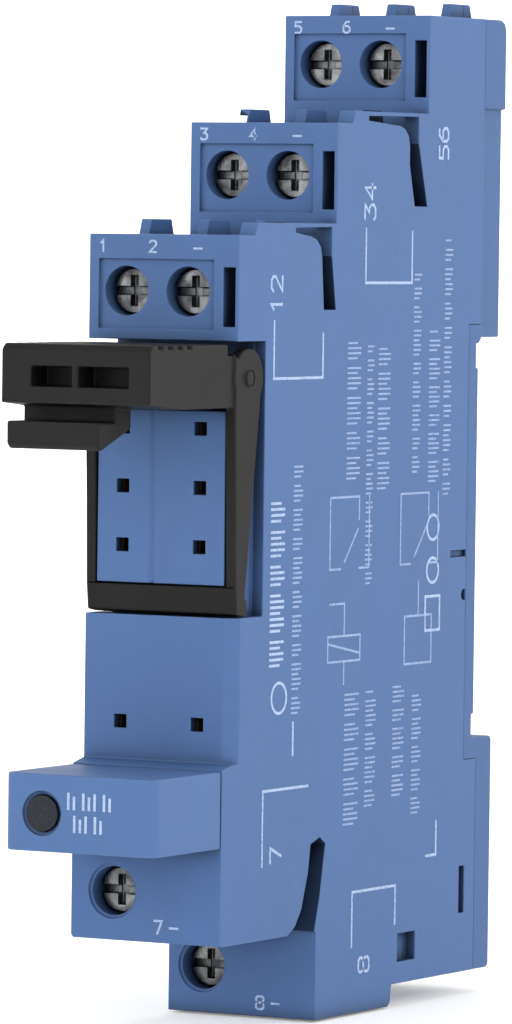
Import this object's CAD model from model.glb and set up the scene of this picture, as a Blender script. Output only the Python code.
import math
import bpy
import bmesh
from mathutils import Vector, Matrix


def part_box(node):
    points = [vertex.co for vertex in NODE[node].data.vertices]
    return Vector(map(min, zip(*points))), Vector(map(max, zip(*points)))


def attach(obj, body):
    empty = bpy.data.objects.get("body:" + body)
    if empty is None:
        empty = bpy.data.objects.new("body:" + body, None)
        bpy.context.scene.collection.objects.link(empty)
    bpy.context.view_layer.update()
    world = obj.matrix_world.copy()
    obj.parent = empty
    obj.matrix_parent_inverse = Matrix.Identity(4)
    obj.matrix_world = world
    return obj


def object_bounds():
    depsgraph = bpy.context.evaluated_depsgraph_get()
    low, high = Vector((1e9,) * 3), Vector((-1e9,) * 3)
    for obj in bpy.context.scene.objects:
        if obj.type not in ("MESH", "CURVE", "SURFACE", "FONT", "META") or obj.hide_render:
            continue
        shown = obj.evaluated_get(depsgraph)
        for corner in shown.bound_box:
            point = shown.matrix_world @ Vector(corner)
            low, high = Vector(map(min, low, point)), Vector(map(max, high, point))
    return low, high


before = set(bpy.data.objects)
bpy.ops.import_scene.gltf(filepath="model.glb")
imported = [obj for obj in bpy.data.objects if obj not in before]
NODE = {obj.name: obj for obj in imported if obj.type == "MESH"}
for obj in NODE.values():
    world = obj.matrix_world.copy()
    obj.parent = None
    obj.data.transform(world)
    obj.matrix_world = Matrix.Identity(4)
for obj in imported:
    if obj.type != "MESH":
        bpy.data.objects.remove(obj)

# Looks of a rail-mounted relay socket: moulded blue body, black clip, plated screws, pad print.
# The scene is in metres. Lengths below are in millimetres, which MM turns into metres, unless they say so.
MM = 0.001
cad_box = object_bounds()
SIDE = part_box("housing")[1].x          # the right side wall's outer face, in metres
TERMS = ["14", "24", "12", "22", "11", "21", "a1", "a2"]


# ---------------------------------------------------------------- node helpers

def is_socket(value):
    return isinstance(value, bpy.types.NodeSocket)


class Tree:
    """A material's node tree with short calls for the nodes used here."""

    def __init__(self, name):
        self.material = bpy.data.materials.new(name)
        self.material.use_nodes = True
        self.tree = self.material.node_tree
        self.tree.nodes.clear()
        output = self.new("OutputMaterial")
        self.bsdf = self.new("BsdfPrincipled")
        self.put(output.inputs["Surface"], self.bsdf.outputs[0])
        self.place = self.new("TexCoord").outputs["Object"]

    def new(self, kind, **settings):
        node = self.tree.nodes.new("ShaderNode" + kind)
        for name, value in settings.items():
            setattr(node, name, value)
        return node

    def put(self, socket, value):
        """Feed a socket from another node's output, or set it to a plain value."""
        if is_socket(value):
            self.tree.links.new(value, socket)
        else:
            socket.default_value = value

    def surface(self, name, value):
        """Feed or set one input of the shader."""
        self.put(self.bsdf.inputs[name], value)

    def scaled(self, x, y, z):
        """Object coordinates times x, y and z."""
        mapping = self.new("Mapping")
        self.put(mapping.inputs["Vector"], self.place)
        mapping.inputs["Scale"].default_value = (x, y, z)
        return mapping.outputs[0]

    def noise(self, size_mm, detail, rough, stretch=(1, 1, 1), distort=0.0):
        node = self.new("TexNoise")
        per_metre = 1.0 / (size_mm * MM)
        self.put(node.inputs["Vector"], self.scaled(*[per_metre / s for s in stretch]))
        node.inputs["Scale"].default_value = 1.0
        node.inputs["Detail"].default_value = detail
        node.inputs["Roughness"].default_value = rough
        node.inputs["Distortion"].default_value = distort
        return node.outputs["Fac"]

    def cells(self, size_mm):
        """The distance to the nearest of a scatter of points, size_mm apart."""
        node = self.new("TexVoronoi", feature="F1")
        per_metre = 1.0 / (size_mm * MM)
        self.put(node.inputs["Vector"], self.scaled(per_metre, per_metre, per_metre))
        node.inputs["Scale"].default_value = 1.0
        return node.outputs["Distance"]

    def span(self, value, from_min, from_max, to_min, to_max):
        node = self.new("MapRange", clamp=True)
        self.put(node.inputs["Value"], value)
        node.inputs["From Min"].default_value = from_min
        node.inputs["From Max"].default_value = from_max
        node.inputs["To Min"].default_value = to_min
        node.inputs["To Max"].default_value = to_max
        return node.outputs["Result"]

    def math(self, operation, first, second):
        node = self.new("Math", operation=operation)
        self.put(node.inputs[0], first)
        self.put(node.inputs[1], second)
        return node.outputs[0]

    def mix(self, factor, first, second):
        """A blend of two colours; each is an output or three numbers."""
        node = self.new("Mix", data_type="RGBA", blend_type="MIX")
        self.put(node.inputs[0], factor)
        for socket, colour in ((node.inputs[6], first), (node.inputs[7], second)):
            self.put(socket, colour if is_socket(colour) else (*colour, 1.0))
        return node.outputs[2]

    def edge(self, radius_mm):
        """1 on convex and concave edges, 0 on flats: how far the bevelled normal leans."""
        bevel = self.new("Bevel", samples=4)
        bevel.inputs["Radius"].default_value = radius_mm * MM
        geometry = self.new("NewGeometry")
        lean = self.new("VectorMath", operation="DOT_PRODUCT")
        self.put(lean.inputs[0], bevel.outputs[0])
        self.put(lean.inputs[1], geometry.outputs["Normal"])
        return self.span(lean.outputs["Value"], 0.99, 0.80, 0.0, 1.0)

    def crevice(self, reach_mm):
        """1 in the open, towards 0 in corners and holes."""
        node = self.new("AmbientOcclusion", samples=6)
        node.inputs["Distance"].default_value = reach_mm * MM
        return node.outputs["AO"]

    def bump(self, height, depth_mm, strength, under=None):
        node = self.new("Bump")
        self.put(node.inputs["Height"], height)
        node.inputs["Distance"].default_value = depth_mm * MM
        node.inputs["Strength"].default_value = strength
        if under is not None:
            self.put(node.inputs["Normal"], under)
        return node.outputs[0]


def srgb(*channels):
    """The linear colour of three display values from 0 to 255."""
    def linear(value):
        return value / 255 / 12.92 if value <= 10 else ((value / 255 + 0.055) / 1.055) ** 2.4
    return tuple(linear(value) for value in channels)


def scale(colour, factor):
    return tuple(min(1.0, value * factor) for value in colour)


# ---------------------------------------------------------------- materials

def plastic(name, base, rough, spec, mottle=0.06, grain=0.10, wear=0.25, dirt=0.45, flow=(1, 1, 3),
            wear_to=(0.55, 0.62, 0.75)):
    """Injection-moulded plastic: flow mottling, spark-eroded grain, rubbed edges, dust in the corners.

    grain is its size in millimetres, and flow how far the mottling is drawn out along x, y and z."""
    tree = Tree(name)
    flows = tree.noise(size_mm=7.0, detail=4.0, rough=0.5, stretch=flow, distort=0.4)
    blotches = tree.noise(size_mm=1.3, detail=3.0, rough=0.6)
    colour = tree.mix(tree.span(flows, 0.3, 0.7, 0.0, 1.0), scale(base, 1 - mottle), scale(base, 1 + mottle))
    colour = tree.mix(tree.span(blotches, 0.35, 0.65, 0.0, 0.5), colour, scale(base, 1 + mottle * 0.7))
    specks = tree.span(tree.cells(size_mm=0.55), 0.0, 0.09, 0.35, 0.0)
    colour = tree.mix(specks, colour, scale(base, 0.72))
    rubbed = tree.math("MULTIPLY", tree.edge(radius_mm=0.22), tree.span(blotches, 0.3, 0.7, 0.4, 1.0))
    colour = tree.mix(tree.math("MULTIPLY", rubbed, wear), colour, wear_to)
    corner = tree.span(tree.crevice(reach_mm=2.6), 0.42, 1.0, 1.0, 0.0)
    shade = tree.math("MULTIPLY", tree.math("POWER", corner, 2.2), dirt)
    tree.surface("Base Color", tree.mix(shade, colour, scale(base, 0.10)))
    fine = tree.noise(size_mm=grain, detail=2.0, rough=0.6)
    both = tree.math("ADD", tree.math("MULTIPLY", flows, 0.6), tree.math("MULTIPLY", fine, 0.4))
    gloss = tree.span(both, 0.3, 0.7, rough - 0.07, rough + 0.09)
    tree.surface("Roughness", tree.math("SUBTRACT", gloss, tree.math("MULTIPLY", rubbed, 0.12)))
    sink = tree.bump(flows, depth_mm=0.05, strength=0.25)
    tree.surface("Normal", tree.bump(fine, depth_mm=0.012, strength=0.55, under=sink))
    tree.surface("Specular IOR Level", spec)
    tree.surface("IOR", 1.53)
    return tree.material


def metal(name, base, tint, rough, scratch=(1, 1, 14), dull=0.5):
    """Plated or stamped metal: clouded plating from base to tint, fine draw lines, dull corners."""
    tree = Tree(name)
    cloud = tree.noise(size_mm=2.2, detail=4.0, rough=0.6, distort=0.6)
    lines = tree.noise(size_mm=0.12, detail=2.0, rough=0.5, stretch=scratch)
    colour = tree.mix(tree.span(cloud, 0.35, 0.65, 0.0, 1.0), base, tint)
    corner = tree.span(tree.crevice(reach_mm=1.2), 0.2, 0.8, dull, 0.0)
    colour = tree.mix(corner, colour, scale(base, 0.25))
    rubbed = tree.math("MULTIPLY", tree.edge(radius_mm=0.12), 0.35)
    colour = tree.mix(rubbed, colour, scale(base, 1.3))
    tree.surface("Base Color", colour)
    tree.surface("Metallic", 1.0)
    both = tree.math("ADD", tree.math("MULTIPLY", cloud, 0.5), tree.math("MULTIPLY", lines, 0.5))
    tree.surface("Roughness", tree.span(both, 0.3, 0.7, rough - 0.08, rough + 0.14))
    sink = tree.bump(cloud, depth_mm=0.01, strength=0.3)
    tree.surface("Normal", tree.bump(lines, depth_mm=0.006, strength=0.6, under=sink))
    return tree.material


def clear(name, base, rough, alpha, spec=0.5):
    """A clear moulded lens with faint flow lines."""
    tree = Tree(name)
    flow = tree.noise(size_mm=0.8, detail=3.0, rough=0.5, distort=1.0)
    tree.surface("Base Color", tree.mix(tree.span(flow, 0.3, 0.7, 0.0, 1.0), base, scale(base, 0.82)))
    tree.surface("Roughness", tree.span(flow, 0.3, 0.7, rough, rough + 0.10))
    tree.surface("Normal", tree.bump(flow, depth_mm=0.02, strength=0.2))
    tree.surface("IOR", 1.49)
    tree.surface("Alpha", alpha)
    tree.surface("Specular IOR Level", spec)
    return tree.material


def ink(name, base, worn):
    """Pad print: thin pale ink, slightly broken, that goes over to the worn colour."""
    tree = Tree(name)
    gap = tree.noise(size_mm=0.35, detail=3.0, rough=0.7)
    wide = tree.noise(size_mm=5.0, detail=2.0, rough=0.5)
    broken = tree.span(gap, 0.42, 0.62, 0.0, 1.0)
    rubbed = tree.span(wide, 0.35, 0.7, 0.35, 1.0)
    tree.surface("Base Color", tree.mix(tree.math("MULTIPLY", broken, rubbed), base, worn))
    tree.surface("Roughness", tree.span(gap, 0.3, 0.7, 0.5, 0.75))
    tree.surface("Normal", tree.bump(gap, depth_mm=0.006, strength=0.5))
    return tree.material


BLUE = srgb(71, 100, 147)
SMOKE = (0.014, 0.017, 0.025)
LED_GREEN = (0.22, 0.40, 0.22)
MATERIAL = {
    "blue": plastic("blue_polyamide", BLUE, rough=0.56, wear=0.20, dirt=0.92, spec=0.20,
                    wear_to=srgb(116, 141, 184)),
    "base": plastic("blue_polyamide_back", scale(BLUE, 0.92), rough=0.58, wear=0.20, dirt=0.92, spec=0.20,
                    wear_to=srgb(112, 136, 176)),
    "slit": plastic("blue_dusty_slit", scale(BLUE, 0.26), rough=0.70, wear=0.0, dirt=0.9, spec=0.08),
    "module": plastic("blue_module", scale(BLUE, 1.04), rough=0.54, wear=0.22, dirt=0.9, flow=(3, 1, 1),
                      spec=0.22, wear_to=srgb(120, 145, 188)),
    "black": plastic("black_polyamide", srgb(27, 26, 27), rough=0.50, mottle=0.16, wear=0.24, dirt=0.6,
                     grain=0.14, wear_to=srgb(62, 61, 62), spec=0.12),
    "black2": plastic("black_polyamide_latch", srgb(26, 26, 27), rough=0.54, mottle=0.14, wear=0.22,
                      spec=0.12, wear_to=srgb(58, 58, 60)),
    "screw": metal("zinc_screw", (0.20, 0.205, 0.215), tint=(0.045, 0.047, 0.052), rough=0.26, dull=0.95),
    "cage": metal("zinc_cage", (0.50, 0.50, 0.47), tint=(0.36, 0.37, 0.36), rough=0.38, scratch=(1, 14, 1)),
    "brass": metal("brass_strip", (0.76, 0.56, 0.25), tint=(0.62, 0.42, 0.18), rough=0.32),
    "bronze": metal("spring_bronze", (0.34, 0.22, 0.13), tint=(0.24, 0.15, 0.09), rough=0.38),
    "wire": metal("spring_wire", (0.55, 0.55, 0.55), tint=(0.44, 0.44, 0.44), rough=0.28, scratch=(14, 1, 1)),
    "lens": clear("lens_smoked", SMOKE, rough=0.22, alpha=0.95, spec=0.22),
    "led": clear("led_resin", LED_GREEN, rough=0.12, alpha=0.9),
    "board": plastic("board_green", (0.02, 0.13, 0.05), rough=0.30, mottle=0.18, wear=0.2, spec=0.5,
                     wear_to=(0.35, 0.32, 0.15)),
    "resistor": plastic("resistor_lacquer", (0.55, 0.40, 0.20), rough=0.35, mottle=0.1, spec=0.5),
    "diode": plastic("diode_body", (0.03, 0.03, 0.03), rough=0.35, mottle=0.2, spec=0.5,
                     wear_to=(0.2, 0.2, 0.2)),
    "ink": ink("white_pad_print", srgb(163, 182, 214), srgb(112, 137, 180)),
    "ink_dim": ink("thin_pad_print", srgb(139, 161, 200), srgb(98, 124, 170)),
}


def look(node, finish):
    part = NODE[node]
    part.data.materials.clear()
    part.data.materials.append(MATERIAL[finish])
    for face in part.data.polygons:
        face.material_index = 0


# the hooked slits in the side walls: lowest and highest y, then lowest and highest z, of each
SLITS = [(-34.2, -26.4, 20.6, 29.5), (-21.4, -10.0, 29.6, 39.3), (-34.6, -27.1, -33.2, -24.4)]
RIGHT, LEFT = 1, -1
SLIT_DEPTH = {RIGHT: 2.3, LEFT: 0.8}


def dark_slits(node, finish):
    """The dusty walls and floors of the slits: each corner lies on the skin or at the slit's full depth."""
    part = NODE[node]
    part.data.materials.append(MATERIAL[finish])
    for face in part.data.polygons:
        corners = [part.data.vertices[i].co / MM for i in face.vertices]
        hand = RIGHT if corners[0].x > 0 else LEFT
        depths = [SIDE / MM - hand * corner.x for corner in corners]
        stray = max(min(abs(depth), abs(depth - SLIT_DEPTH[hand])) for depth in depths)
        if max(depths) < 0.5 or stray > 0.05:
            continue
        for y0, y1, z0, z1 in SLITS:
            if all(y0 < corner.y < y1 and z0 < corner.z < z1 for corner in corners):
                face.material_index = 1


FINISH = {
    "housing": "blue", "rear_base": "base", "retaining_clip": "black", "rail_latch": "black2",
    "module_case": "module", "module_back": "black2", "module_lens": "lens", "module_led": "led",
    "module_board": "board", "module_resistor": "resistor", "module_diode": "diode",
    "module_blade_l": "brass", "module_blade_r": "brass", "latch_spring": "wire",
}
for term in TERMS:
    FINISH.update({"strip_" + term: "brass", "fork_" + term: "bronze", "screw_" + term: "screw",
                   "cage_" + term: "cage"})
for node, finish in FINISH.items():
    look(node, finish)
dark_slits("housing", "slit")


# ---------------------------------------------------------------- rounded moulded edges

def round_edges(node, width_mm, merge=True):
    """Real rounded edges on a CAD node. Its mesh stays: modifiers weld it, merge its flats and round it.

    The housing's flats aren't merged, because its long faces with holes would then fold over."""
    part = NODE[node]
    weld = part.modifiers.new("join", "WELD")
    weld.merge_threshold = 1e-6
    if merge:
        flats = part.modifiers.new("flats", "DECIMATE")
        flats.decimate_type = "DISSOLVE"
        flats.angle_limit = math.radians(0.6)
    bevel = part.modifiers.new("edges", "BEVEL")
    bevel.width = width_mm * MM
    bevel.segments = 2
    bevel.limit_method = "ANGLE"
    bevel.angle_limit = math.radians(32.0)
    bevel.use_clamp_overlap = False
    bevel.loop_slide = merge
    bevel.miter_outer = "MITER_SHARP"
    for face in part.data.polygons:
        face.use_smooth = False


round_edges("housing", 0.08, merge=False)
round_edges("rear_base", 0.14)
round_edges("retaining_clip", 0.16)
round_edges("module_case", 0.16)
round_edges("rail_latch", 0.14)
for term in TERMS:
    round_edges("screw_" + term, 0.07)
    round_edges("cage_" + term, 0.08)


# ---------------------------------------------------------------- thin raised line art

FOOT = -0.01            # a stroke's foot lies this far below the skin
STROKE_LIFT = 0.004     # and each stroke stands this much higher than the one before
LIFT_STEPS = 7
OVERRUN = 0.3           # how far an open end runs on, in stroke widths


def ribbon(bm, points, width, lift, place):
    """One stroke: a closed thin bar along a polyline, given in the face's own two coordinates."""
    points = [Vector(point) for point in points]
    closed = len(points) > 2 and (points[0] - points[-1]).length < 1e-6
    if closed:
        points = points[:-1]
    rings = []
    count = len(points)
    for i, point in enumerate(points):
        first = i == 0 and not closed
        last = i + 1 == count and not closed
        after = None if last else (points[(i + 1) % count] - point).normalized()
        before = after if first else (point - points[i - 1]).normalized()
        after = before if last else after
        along = (before + after).normalized()
        across = Vector((-along.y, along.x))
        mitre = 1.0
        if first:
            point = point - along * width * OVERRUN
        elif last:
            point = point + along * width * OVERRUN
        else:
            mitre = 1.0 / max(0.5, abs(across.dot(Vector((-before.y, before.x)))))
        left = point + across * width / 2 * mitre
        right = point - across * width / 2 * mitre
        corners = ((left, FOOT), (right, FOOT), (right, lift), (left, lift))
        rings.append([bm.verts.new(place(*flat, height)) for flat, height in corners])
    for near, far in zip(rings, rings[1:] + (rings[:1] if closed else [])):
        for i in range(4):
            j = (i + 1) % 4
            bm.faces.new((near[i], near[j], far[j], far[i]))
    if not closed:
        bm.faces.new(rings[0][::-1])
        bm.faces.new(rings[-1])


def print_piece(name, strokes, width, place, body="base", finish="ink", lift=0.015):
    """Strokes of ink as one thin raised mesh; each lies a hair above the last, so that none share a plane."""
    bm = bmesh.new()
    for i, stroke in enumerate(strokes):
        ribbon(bm, stroke, width, lift + STROKE_LIFT * (i % LIFT_STEPS), place)
    bmesh.ops.recalc_face_normals(bm, faces=bm.faces)
    mesh = bpy.data.meshes.new(name)
    bm.to_mesh(mesh)
    bm.free()
    piece = bpy.data.objects.new(name, mesh)
    bpy.context.scene.collection.objects.link(piece)
    mesh.materials.append(MATERIAL[finish])
    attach(piece, body)


def on_side(y, z, h):
    """A point h above the right side wall."""
    return Vector((SIDE + h * MM, y * MM, z * MM))


def on_front(plane):
    """Places points above the front face whose y is plane."""
    return lambda x, z, h: Vector((x * MM, (plane - h) * MM, z * MM))


# plain stroke numerals on a field 2 wide and 3 high
DIGIT = {
    "1": [(0.4, 2.3), (1.1, 3), (1.1, 0)],
    "2": [(0, 2.5), (0.5, 3), (1.5, 3), (2, 2.5), (2, 1.9), (0, 0), (2, 0)],
    "3": [(0, 3), (2, 3), (1, 1.8), (1.6, 1.7), (2, 1.2), (2, 0.5), (1.5, 0), (0.4, 0), (0, 0.4)],
    "4": [(1.5, 0), (1.5, 3), (0, 1), (2, 1)],
    "5": [(2, 3), (0.2, 3), (0.1, 1.8), (1.4, 1.8), (2, 1.3), (2, 0.5), (1.5, 0), (0.1, 0)],
    "6": [(1.8, 3), (0.9, 3), (0, 1.8), (0, 0.5), (0.5, 0), (1.5, 0), (2, 0.5), (2, 1.3), (1.5, 1.8),
          (0.2, 1.8)],
    "7": [(0, 3), (2, 3), (0.8, 0)],
    "8": [(0.4, 1.6), (0, 2.1), (0, 2.6), (0.4, 3), (1.6, 3), (2, 2.6), (2, 2.1), (1.6, 1.6), (0.4, 1.6),
          (0, 1.1), (0, 0.4), (0.4, 0), (1.6, 0), (2, 0.4), (2, 1.1), (1.6, 1.6)],
}


def numeral(digit, x, y, height, turned=False):
    """The stroke of one numeral with its corner at x, y; turned is a quarter turn to the left."""
    unit = height / 3
    points = [(px * unit, py * unit) for px, py in DIGIT[digit]]
    if turned:
        points = [(-py, px) for px, py in points]
    return [[(x + px, y + py) for px, py in points]]


def rect(x0, y0, x1, y1):
    return [[(x0, y0), (x1, y0), (x1, y1), (x0, y1), (x0, y0)]]


def ring(cx, cy, radius, sides):
    turns = [2 * math.pi * i / sides for i in range(sides + 1)]
    return [(cx + radius * math.cos(turn), cy + radius * math.sin(turn)) for turn in turns]


SHORT_BAR = 0.72        # every third bar of a column is this much of the others
WORD_GAP = 0.9          # the gap after a group of bars, in pitches


def ticks(y, z0, z1, words, tall, pitch):
    """Hatched bars up a column, in groups: they stand for lines of print, and say nothing."""
    strokes = []
    z = z0
    group = 0
    while z < z1:
        for i in range(words[group % len(words)]):
            if z > z1:
                break
            reach = tall if i % 3 else tall * SHORT_BAR
            strokes.append([(y, z), (y + reach, z)])
            z += pitch
        z += pitch * WORD_GAP
        group += 1
    return strokes


# brackets that tie each terminal's number to its wire entry
print_piece("print_brackets", [
    [(-37.5, 19.9), (-37.5, 15.0), (-28.9, 15.0), (-28.9, 18.8)],
    [(-21.4, 27.8), (-21.4, 23.1), (-12.9, 23.1), (-12.9, 27.6)],
    [(-30.6, -20.0), (-38.5, -20.0), (-38.5, -26.4)],
    [(-22.4, -34.6), (-22.4, -29.8), (-14.5, -29.8), (-14.5, -33.2)],
], width=0.24, place=on_side)

# terminal numbers beside the brackets: y, z and height
SIDE_NUMBERS = [
    ("1", -36.2, 20.6, 1.9), ("2", -36.2, 22.4, 1.9), ("3", -19.8, 28.6, 1.9), ("4", -19.8, 30.4, 1.9),
    ("7", -35.2, -26.2, 1.9), ("8", -19.2, -36.9, 1.9), ("5", -6.4, 34.0, 1.7), ("6", -6.4, 35.6, 1.7),
]
numbers = []
for digit, y, z, height in SIDE_NUMBERS:
    numbers += numeral(digit, y, z, height, turned=True)
print_piece("print_numbers", numbers, width=0.26, place=on_side)

# contact diagram: two changeover contacts and a coil, drawn as plain circuit symbols
diagram = []
for y0 in (-27.2, -14.4):
    diagram += [
        [(y0, 4.6), (y0 + 5.2, 4.6), (y0 + 5.2, 2.6)],
        [(y0, 4.6), (y0, -1.6), (y0 + 1.9, -1.6)],
        [(y0 + 2.6, -1.0), (y0 + 5.0, 1.8)],
        [(y0 + 5.2, -1.6), (y0 + 7.0, -1.6)],
        [(y0 + 7.0, 4.6), (y0 + 7.0, -1.6)],
    ]
diagram += rect(-27.4, -9.6, -21.6, -7.4)
diagram += [
    [(-27.4, -8.0), (-21.6, -9.0)],
    [(-24.5, -7.4), (-24.5, -4.6), (-27.2, -4.6)],
    [(-24.5, -9.6), (-24.5, -11.6)],
]
diagram += rect(-13.4, -10.4, -8.4, -6.2)
diagram.append([(-10.9, -6.2), (-10.9, -3.2)])
print_piece("print_diagram", diagram, width=0.20, place=on_side, finish="ink_dim")

# columns of hatched bars where the housing carries small print: y, lowest and highest z, the groups, the
# bars' length and their pitch
BOLD_COLUMN = (-37.6, -9.4, 4.6, (5, 7, 4), 2.3, 0.50)
FINE_COLUMNS = [
    (-33.7, -13.6, 7.8, (4, 6, 3, 5), 1.5, 0.42),
    (-24.4, 6.2, 18.3, (5, 4, 6), 2.3, 0.44),
    (-20.8, -3.0, 18.0, (3, 5, 4), 1.1, 0.42),
    (-18.8, 5.2, 18.0, (6, 4, 5), 2.1, 0.44),
    (-12.4, 6.5, 24.2, (4, 3, 6), 1.3, 0.42),
    (-9.4, 5.6, 19.0, (5, 5, 3), 1.9, 0.42),
    (-6.6, 4.4, 27.2, (3, 4, 6), 1.3, 0.44),
    (-24.2, -23.8, -12.2, (5, 4), 2.5, 0.44),
    (-20.4, -22.4, -12.4, (4, 6), 1.8, 0.42),
    (-15.4, -21.8, -12.2, (5, 3), 2.0, 0.42),
    (-11.8, -23.6, -12.6, (4, 5), 1.6, 0.42),
]
fine_bars = []
for column in FINE_COLUMNS:
    fine_bars += ticks(*column)
print_piece("print_column_bold", ticks(*BOLD_COLUMN), width=0.24, place=on_side)
print_piece("print_column_fine", fine_bars, width=0.18, place=on_side, finish="ink_dim")

# plain rings, a square and rules down the side
marks = [ring(-35.9, -12.2, 1.3, 28)]
marks += [ring(-8.3, z, 1.1, 24) for z in (1.5, -2.3)]
marks += rect(-9.6, -7.6, -6.9, -4.6)
marks.append([(-33.4, -17.2), (-33.4, -14.4)])
marks.append([(-8.9, -27.6), (-7.0, -27.6), (-7.0, -24.6)])
print_piece("print_marks", marks, width=0.26, place=on_side)

# small print along the top of each tier's front, two numbers and a dash: the front's y and the tier's top z
FRONT_LIFT = 0.012
TIERS = [(-43.7, 27.1), (-26.7, 36.85), (-10.1, 46.6)]
TIER_NUMBERS_X = (-6.3, -1.4)
TIER_NUMBER_HEIGHT = 0.95
for i, (plane, top) in enumerate(TIERS):
    z = top - 1.15
    strokes = []
    for k, x in enumerate(TIER_NUMBERS_X):
        strokes += numeral(str(2 * i + k + 1), x, z - 0.35, TIER_NUMBER_HEIGHT)
    strokes.append([(2.9, z), (3.7, z)])
    print_piece("print_tier_%d" % (i + 1), strokes, width=0.18, place=on_front(plane), lift=FRONT_LIFT)

# the marks of the two coil screws, a number and a dash: x, z and the y of the face
COIL_MARKS = [("print_coil_1", "7", 0.9, -31.9, -45.5), ("print_coil_2", "8", 1.5, -39.75, -28.8)]
COIL_NUMBER_HEIGHT = 1.1
for name, digit, x, z, plane in COIL_MARKS:
    strokes = numeral(digit, x, z, COIL_NUMBER_HEIGHT)
    strokes.append([(x + 1.5, z + 0.55), (x + 2.3, z + 0.55)])
    print_piece(name, strokes, width=0.19, place=on_front(plane), lift=FRONT_LIFT)

# rating field of the module: two rows of plain bars, each row with its z, first x and groups
MODULE_FRONT = -56.7
RATING_ROWS = [(-20.7, -1.0, (2, 3, 2)), (-22.6, -0.4, (3, 2))]
TALL_BAR = 1.3
LOW_BAR = 1.0
BAR_PITCH = 0.55
GROUP_GAP = 0.35
bars = []
for z, x, groups in RATING_ROWS:
    for group in groups:
        for i in range(group):
            bars.append([(x, z), (x, z + (LOW_BAR if i % 2 else TALL_BAR))])
            x += BAR_PITCH
        x += GROUP_GAP
print_piece("print_module", bars, width=0.24, place=on_front(MODULE_FRONT), body="module",
            lift=FRONT_LIFT)


# ---------------------------------------------------------------- camera, light, floor

# the camera's place round the object, in degrees, what it looks at, and how far away it stands
CAMERA_AZIMUTH = 29.32
CAMERA_ELEVATION = 2.357
CAMERA_ROLL = 0.743
CAMERA_TARGET = (-1.277, -25.0, 3.064)
CAMERA_DISTANCE = 609.65
CAMERA_LENS = 246.6


def make_camera():
    azimuth = math.radians(CAMERA_AZIMUTH)
    elevation = math.radians(CAMERA_ELEVATION)
    roll = math.radians(CAMERA_ROLL)
    level = math.cos(elevation)
    back = Vector((math.sin(azimuth) * level, -math.cos(azimuth) * level, math.sin(elevation)))
    level_right = Vector((0, 0, 1)).cross(back).normalized()
    level_up = back.cross(level_right)
    right = level_right * math.cos(roll) + level_up * math.sin(roll)
    up = -level_right * math.sin(roll) + level_up * math.cos(roll)
    at = Vector(CAMERA_TARGET) * MM + back * CAMERA_DISTANCE * MM
    data = bpy.data.cameras.new("camera")
    data.sensor_width = 36.0
    data.sensor_fit = "AUTO"
    data.lens = CAMERA_LENS
    data.clip_start = 0.05
    data.clip_end = 20.0
    camera = bpy.data.objects.new("camera", data)
    camera.matrix_world = Matrix((
        (right.x, up.x, back.x, at.x),
        (right.y, up.y, back.y, at.y),
        (right.z, up.z, back.z, at.z),
        (0, 0, 0, 1)))
    bpy.context.scene.collection.objects.link(camera)
    bpy.context.scene.camera = camera


def area(name, at, towards, size, power, colour=(1, 1, 1)):
    """A round soft light; places and sizes are in metres."""
    data = bpy.data.lights.new(name, "AREA")
    data.shape = "DISK"
    data.size = size
    data.energy = power
    data.color = colour
    light = bpy.data.objects.new(name, data)
    light.location = at
    light.rotation_mode = "QUATERNION"
    light.rotation_quaternion = (Vector(towards) - Vector(at)).to_track_quat("-Z", "Y")
    bpy.context.scene.collection.objects.link(light)


# the floor's radius and rise, in metres, from its flat middle up into the backdrop
FLOOR_PROFILE = [(0.8, 0.0), (1.6, 0.0), (2.0, 0.03), (2.3, 0.14), (2.5, 0.34), (2.6, 0.7), (2.62, 2.2)]
FLOOR_SIDES = 64


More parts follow.
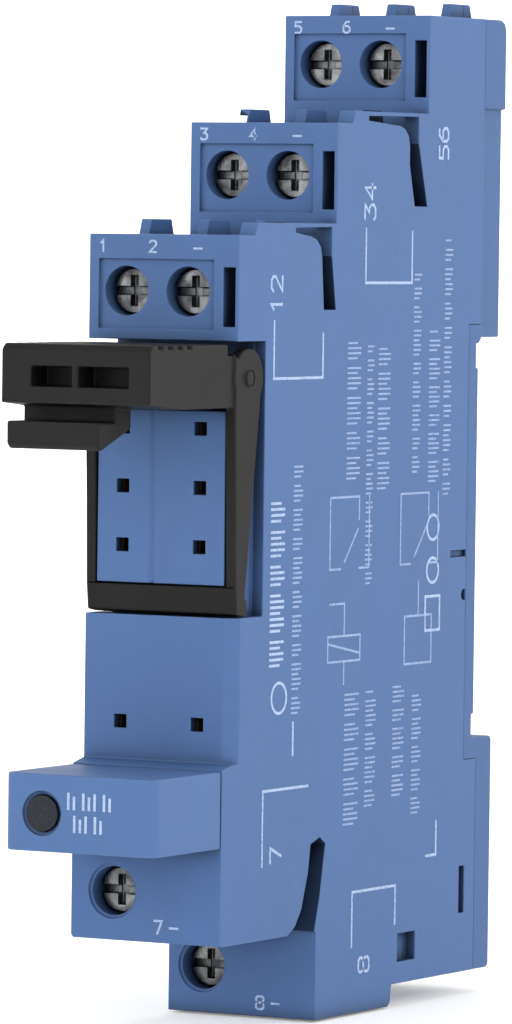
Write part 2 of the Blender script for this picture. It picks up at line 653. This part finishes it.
def sweep_floor(z):
    """A pale floor that curves up into a backdrop, all round, so that every view has the same ground."""
    bm = bmesh.new()
    turns = [2 * math.pi * i / FLOOR_SIDES for i in range(FLOOR_SIDES)]
    middle = bm.verts.new((0, 0, z))
    inner = None
    for radius, rise in FLOOR_PROFILE:
        outer = [bm.verts.new((radius * math.cos(turn), radius * math.sin(turn), z + rise)) for turn in turns]
        for i in range(FLOOR_SIDES):
            j = (i + 1) % FLOOR_SIDES
            if inner is None:
                bm.faces.new((middle, outer[i], outer[j]))
            else:
                bm.faces.new((inner[i], outer[i], outer[j], inner[j]))
        inner = outer
    mesh = bpy.data.meshes.new("floor")
    bm.to_mesh(mesh)
    bm.free()
    for face in mesh.polygons:
        face.use_smooth = True
    floor = bpy.data.objects.new("floor", mesh)
    bpy.context.scene.collection.objects.link(floor)
    mesh.materials.append(floor_material())


def floor_material():
    """Pale and matt, and a little brighter away from the object, where the lights don't reach."""
    tree = Tree("floor_pale")
    cloud = tree.span(tree.noise(size_mm=60.0, detail=2.0, rough=0.5), 0.3, 0.7, 0.0, 1.0)
    tree.surface("Base Color", tree.mix(cloud, (0.93, 0.93, 0.92), (0.95, 0.95, 0.94)))
    tree.surface("Roughness", 0.9)
    tree.surface("Specular IOR Level", 0.1)
    far = tree.new("VectorMath", operation="LENGTH")
    tree.put(far.inputs[0], tree.place)
    tree.surface("Emission Color", (1.0, 1.0, 0.985, 1.0))
    tree.surface("Emission Strength", tree.span(far.outputs["Value"], 0.08, 0.7, 0.22, 0.60))
    return tree.material


FLOOR_GAP = 0.0002          # metres between the object's lowest point and the floor
make_camera()
sweep_floor(cad_box[0].z - FLOOR_GAP)
world = bpy.data.worlds.new("world")
bpy.context.scene.world = world
world.use_nodes = True
background = world.node_tree.nodes["Background"]
background.inputs["Color"].default_value = (1.0, 1.0, 1.0, 1.0)
background.inputs["Strength"].default_value = 0.46
area("key", at=(0.85, -0.30, 0.45), towards=(0, -0.02, 0), size=0.50, power=1.45, colour=(1.0, 0.99, 0.965))
area("fill", at=(-0.55, -0.80, 0.25), towards=(0, -0.02, 0), size=0.60, power=0.8, colour=(0.96, 0.98, 1.0))
area("top", at=(0.0, 0.10, 1.0), towards=(0, 0, 0), size=0.70, power=2.4)
bpy.context.scene.view_settings.view_transform = "Standard"
bpy.context.scene.view_settings.look = "None"
